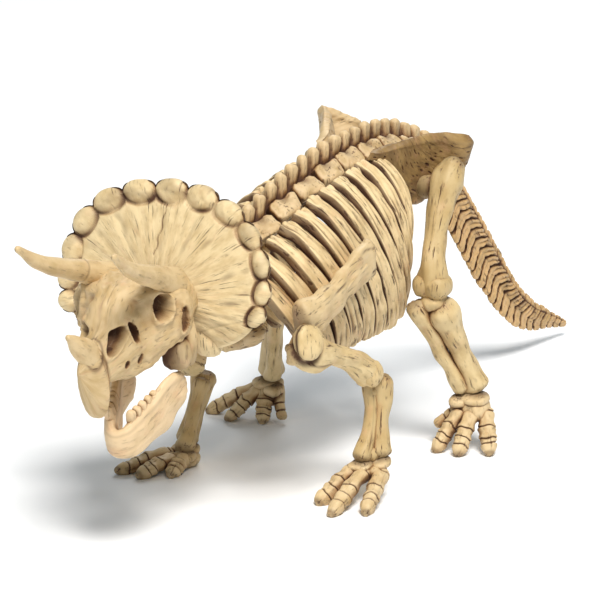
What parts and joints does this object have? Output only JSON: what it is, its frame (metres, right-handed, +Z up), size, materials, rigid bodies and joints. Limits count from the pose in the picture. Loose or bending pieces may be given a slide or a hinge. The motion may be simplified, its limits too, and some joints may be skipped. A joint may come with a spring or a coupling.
{
  "type": "toy triceratops skeleton",
  "caption": "Moulded plastic toy skeleton of a triceratops: horned skull with a beaded frill, open jaw, arched ribbed back, hip bones, drooping tail and four feet; stands as a desk model",
  "frame": {"origin": "on the floor under the middle of the bounding box", "axes": "+Z up, +X towards the animal's left, -Y where it faces, +Y towards the tail"},
  "size_m": [0.0815, 0.2366, 0.0812],
  "materials": {
    "frill": "matte, with a dark wash in the grooves",
    "skull": "matte, with a dark wash in the grooves",
    "horns": "matte, with a dark wash in the grooves",
    "lower_jaw": "matte, with a dark wash in the grooves",
    "vertebrae": "matte, with a dark wash in the grooves",
    "ribs": "matte, with a dark wash in the grooves",
    "shoulder_bones": "matte, with a dark wash in the grooves",
    "hip_bones": "matte, with a dark wash in the grooves",
    "limb_bones": "matte, with a dark wash in the grooves",
    "foot_bones": "matte, with a dark wash in the grooves"
  },
  "bodies": {
    "root": {"frill": "frill", "skull": "skull", "horn_brow_left": "horns", "horn_brow_right": "horns", "horn_nose": "horns", "lower_jaw": "lower_jaw", "neck": "vertebrae", "spine": "vertebrae", "tail_base": "vertebrae", "tail_middle": "vertebrae", "tail_tip": "vertebrae", "rib_cage_left": "ribs", "scapula_left": "shoulder_bones", "ilium_left": "hip_bones", "humerus_left": "limb_bones", "forearm_left": "limb_bones", "femur_left": "limb_bones", "shin_left": "limb_bones", "forefoot_left": "foot_bones", "hindfoot_left": "foot_bones", "rib_cage_right": "ribs", "scapula_right": "shoulder_bones", "ilium_right": "hip_bones", "humerus_right": "limb_bones", "forearm_right": "limb_bones", "femur_right": "limb_bones", "shin_right": "limb_bones", "forefoot_right": "foot_bones", "hindfoot_right": "foot_bones"}
  },
  "joints": []
}
